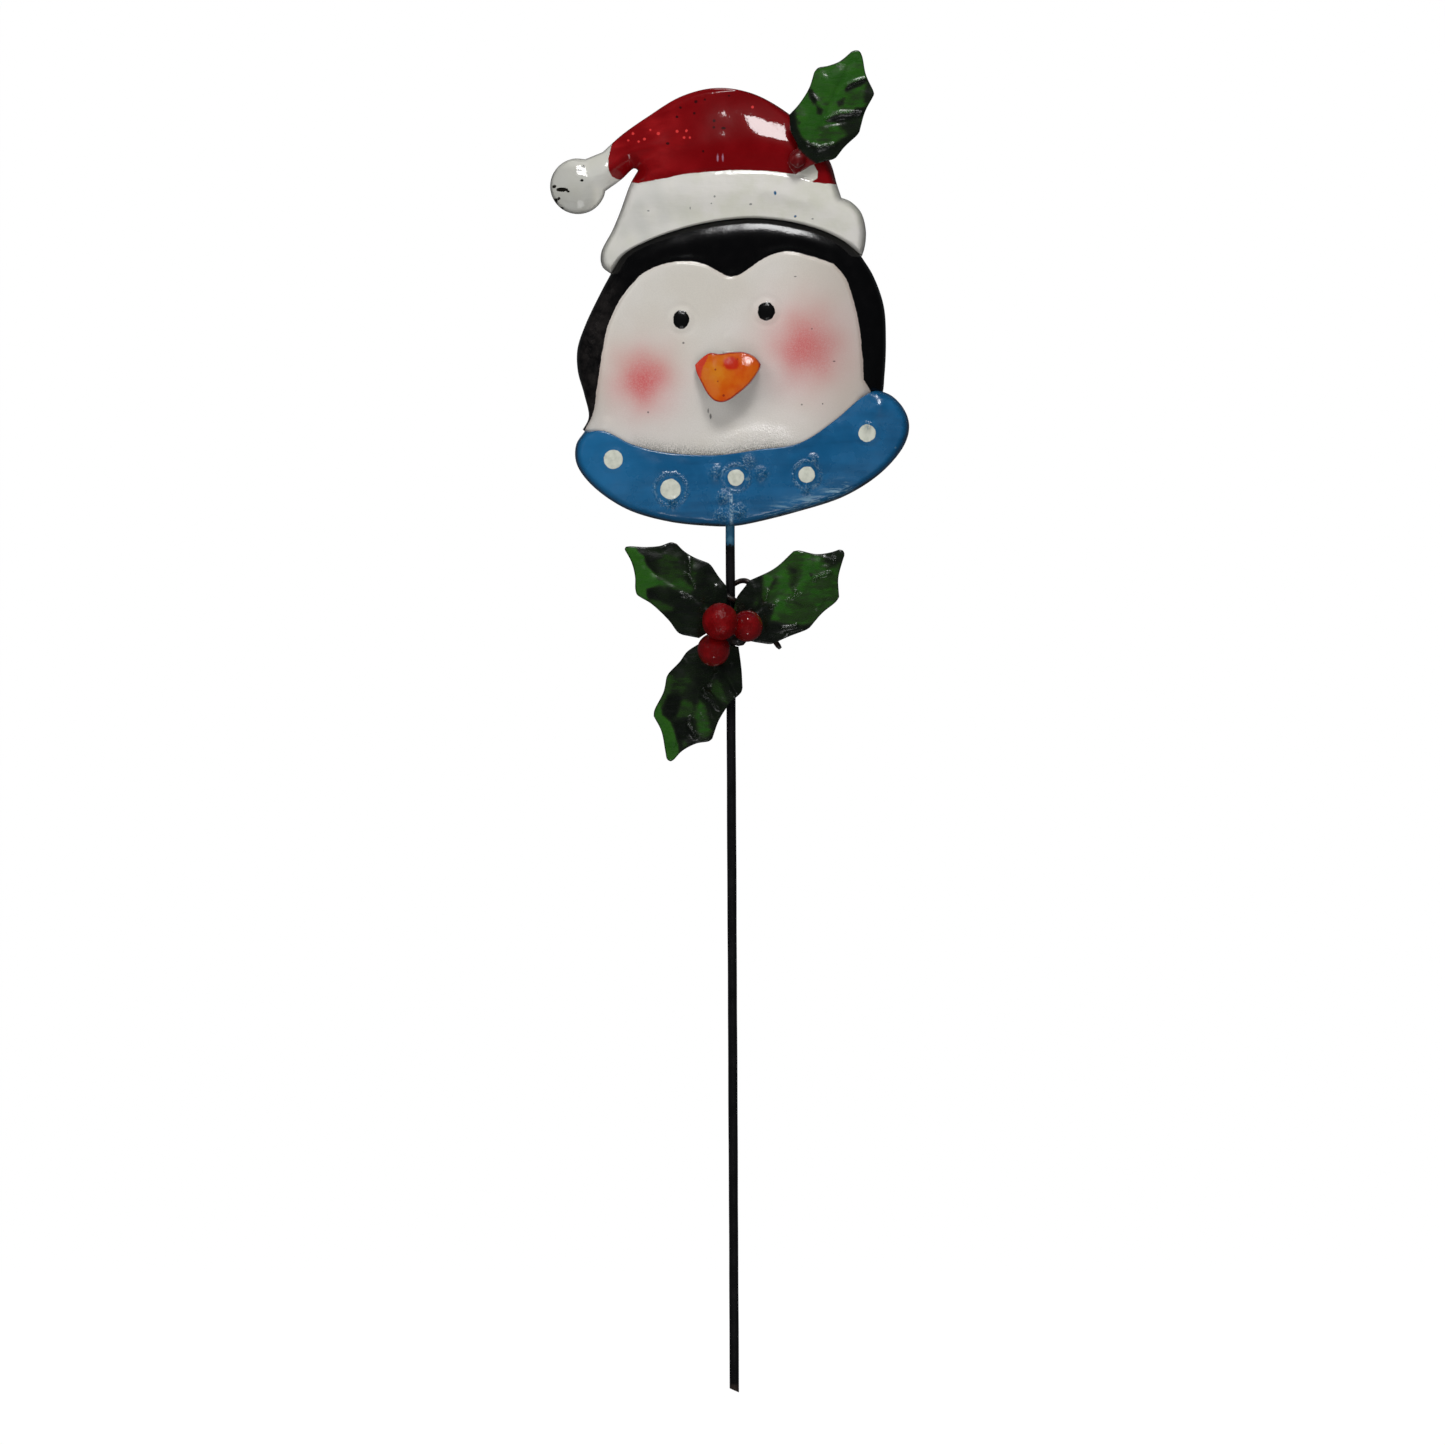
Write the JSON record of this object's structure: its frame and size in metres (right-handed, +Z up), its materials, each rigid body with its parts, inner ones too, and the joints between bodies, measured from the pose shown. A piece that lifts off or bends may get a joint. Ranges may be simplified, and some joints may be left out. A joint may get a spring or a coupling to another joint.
{
  "type": "penguin garden stake",
  "caption": "Painted sheet-metal penguin head with a Santa hat and a dotted scarf on a wire rod, a holly sprig hooked round the rod below it.",
  "frame": {"origin": "lower end of the rod, on its axis", "axes": "+Z up the rod, +X to the viewer's right, the painted front faces -Y"},
  "size_m": [0.1537, 0.0323, 0.5764],
  "materials": {
    "black_enamel": "gloss",
    "red_enamel": "gloss",
    "blue_enamel": "gloss",
    "orange_enamel": "gloss",
    "green_enamel": "gloss",
    "berry_enamel": "gloss",
    "dark_wire": "satin"
  },
  "bodies": {
    "stake": {"stake_rod": "black_enamel", "head_shell": "black_enamel", "hat_shell": "red_enamel", "scarf_shell": "blue_enamel", "beak": "orange_enamel", "beak_weld": "orange_enamel", "hat_leaf": "green_enamel", "hat_leaf_rivet": "red_enamel", "rod_weld_scarf": "dark_wire", "rod_weld_head": "dark_wire", "hat_weld_left": "dark_wire", "hat_weld_right": "dark_wire", "scarf_weld_left": "dark_wire", "scarf_weld_right": "dark_wire"},
    "sprig": {"holly_leaf_left": "green_enamel", "holly_leaf_right": "green_enamel", "holly_leaf_lower": "green_enamel", "berry_large": "berry_enamel", "berry_right": "berry_enamel", "berry_lower": "berry_enamel", "sprig_wire": "dark_wire", "sprig_weld": "dark_wire"}
  },
  "joints": [
    {"name": "sprig_turn", "type": "hinge", "parent": "stake", "child": "sprig", "pos_m": [0, 0, 0.335], "axis": [0, 0, 1], "continuous": true}
  ]
}
